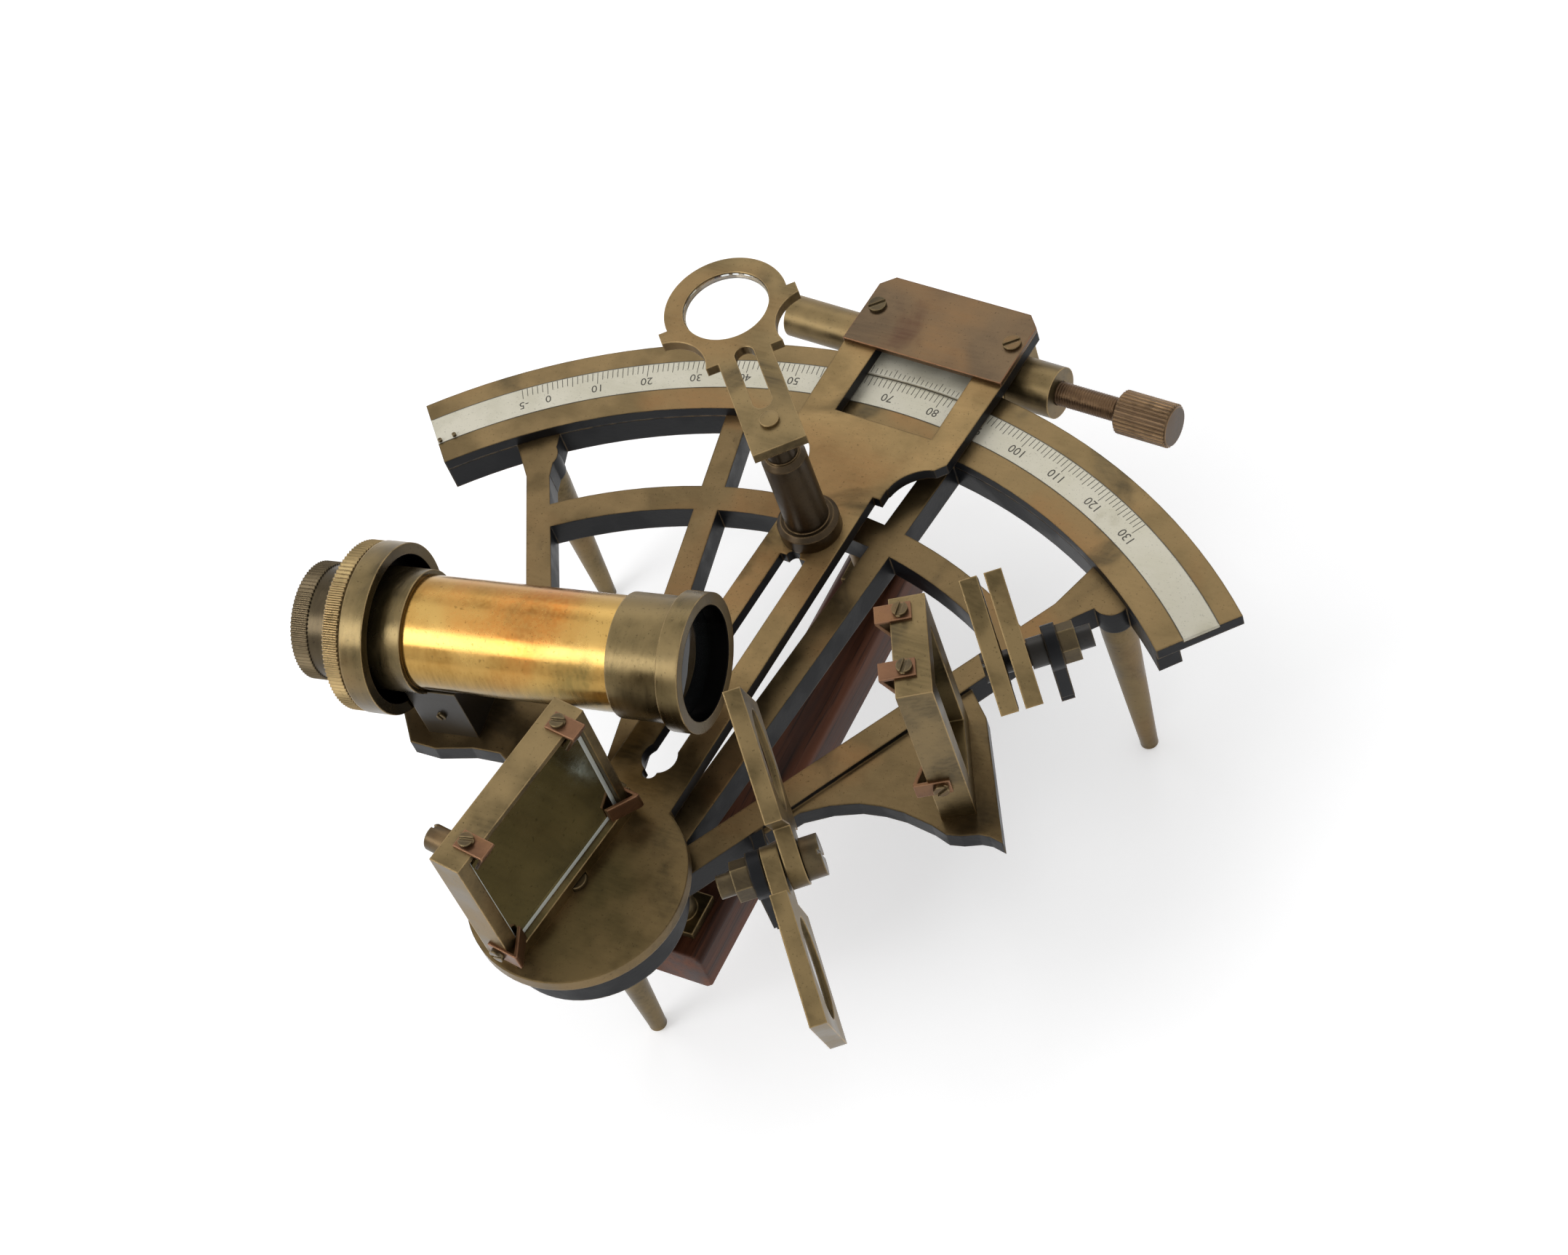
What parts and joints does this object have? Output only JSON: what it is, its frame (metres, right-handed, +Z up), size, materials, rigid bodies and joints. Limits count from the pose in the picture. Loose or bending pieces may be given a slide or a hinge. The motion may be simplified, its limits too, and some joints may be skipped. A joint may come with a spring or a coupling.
{
  "type": "hand sextant",
  "caption": "Brass hand sextant on legs, with index arm, telescope, index and horizon mirrors, swinging shades, tangent screw and reading magnifier over a silvered arc.",
  "frame": {"origin": "point on the ground under the index arm's pivot axis, at the tip of the leg there", "axes": "+Z up along the pivot axis, +Y from the pivot to the middle of the limb, +X to the horizon mirror's side"},
  "size_m": [0.2537, 0.2331, 0.1294],
  "materials": {
    "aged_brass": "dull olive-brown patina",
    "polished_brass": "polished, with patches of patina",
    "black_paint": "satin black sides, rubbed brass top",
    "silvered_brass": "matte silvering",
    "copper": "dull copper",
    "browned_brass": "copper-brown patina",
    "mahogany": "oiled mahogany",
    "dark_glass": "dark shade glass",
    "clear_glass": "clear lens",
    "mirror_glass": "silvered plate glass"
  },
  "bodies": {
    "stand": {"frame": "black_paint", "limb": "aged_brass", "scale_strip": "silvered_brass", "stop_pins": "aged_brass", "leg_left": "aged_brass", "leg_right": "aged_brass", "leg_pivot": "aged_brass", "handle": "mahogany", "handle_bracket_near": "aged_brass", "handle_bracket_far": "aged_brass", "handle_screws": "aged_brass", "telescope_bracket": "black_paint", "bracket_screw": "aged_brass", "telescope_ring": "aged_brass", "telescope_tube": "polished_brass", "objective_cell": "aged_brass", "objective_lens": "clear_glass", "horizon_mirror_block": "aged_brass", "horizon_mirror_glass": "mirror_glass", "horizon_mirror_clips": "copper", "horizon_mirror_screws": "aged_brass", "horizon_shade_bolt": "black_paint", "horizon_shade_nut": "aged_brass", "index_shade_bolt": "aged_brass", "index_shade_nut": "aged_brass", "pivot_screw": "aged_brass"},
    "index_arm": {"index_arm": "aged_brass", "vernier_plate": "silvered_brass", "cover_plate": "browned_brass", "cover_screws": "aged_brass", "screw_housing": "aged_brass", "spring_barrel": "aged_brass", "tangent_collar": "aged_brass", "index_mirror_block": "aged_brass", "index_mirror_glass": "mirror_glass", "index_mirror_clips": "copper", "index_mirror_screws": "aged_brass", "mirror_adjuster": "aged_brass", "magnifier_pillar": "aged_brass", "magnifier_screw": "aged_brass"},
    "magnifier": {"magnifier_arm": "aged_brass", "magnifier_lens": "clear_glass"},
    "tangent_screw": {"tangent_screw": "aged_brass"},
    "clamp_screw": {"clamp_screw": "aged_brass"},
    "eyepiece": {"eyepiece": "aged_brass", "eye_lens": "clear_glass"},
    "index_shade_upper": {"index_shade_upper": "aged_brass", "index_glass_upper": "dark_glass"},
    "index_shade_lower": {"index_shade_lower": "aged_brass", "index_glass_lower": "dark_glass"},
    "horizon_shade_outer": {"horizon_shade_outer": "aged_brass", "horizon_glass_outer": "dark_glass"},
    "horizon_shade_inner": {"horizon_shade_inner": "aged_brass", "horizon_glass_inner": "dark_glass"}
  },
  "joints": [
    {"name": "index_arm_swing", "type": "hinge", "parent": "stand", "child": "index_arm", "pos_m": [0, 0, 0.0735], "axis": [0, 0, 1], "range_deg": [-28, 39.5]},
    {"name": "magnifier_swing", "type": "hinge", "parent": "index_arm", "child": "magnifier", "pos_m": [0.00926, 0.11764, 0.1195], "axis": [0, 0, 1], "range_deg": [-50, 40]},
    {"name": "tangent_screw_turn", "type": "hinge", "parent": "index_arm", "child": "tangent_screw", "pos_m": [0.0368, 0.18719, 0.06445], "axis": [0.9969, -0.0785, 0], "continuous": true},
    {"name": "clamp_screw_turn", "type": "hinge", "parent": "index_arm", "child": "clamp_screw", "pos_m": [0.01381, 0.17546, 0.058], "axis": [0, 0, 1], "continuous": true},
    {"name": "eyepiece_draw", "type": "slide", "parent": "stand", "child": "eyepiece", "axis": [-0.9864, -0.1642, 0], "range_m": [0, 0.012]},
    {"name": "index_shade_upper_swing", "type": "hinge", "parent": "stand", "child": "index_shade_upper", "pos_m": [0.051, 0.0136, 0.085], "axis": [0.7727, 0.6347, 0], "range_deg": [-4.6, 185.4]},
    {"name": "index_shade_lower_swing", "type": "hinge", "parent": "stand", "child": "index_shade_lower", "pos_m": [0.051, 0.0136, 0.085], "axis": [0.7727, 0.6347, 0], "range_deg": [-176.2, 13.8]},
    {"name": "horizon_shade_outer_swing", "type": "hinge", "parent": "stand", "child": "horizon_shade_outer", "pos_m": [0.0858, 0.0925, 0.083], "axis": [0.788, 0.6157, 0], "range_deg": [0, 75]},
    {"name": "horizon_shade_inner_swing", "type": "hinge", "parent": "stand", "child": "horizon_shade_inner", "pos_m": [0.0858, 0.0925, 0.083], "axis": [0.788, 0.6157, 0], "range_deg": [0, 75]}
  ]
}
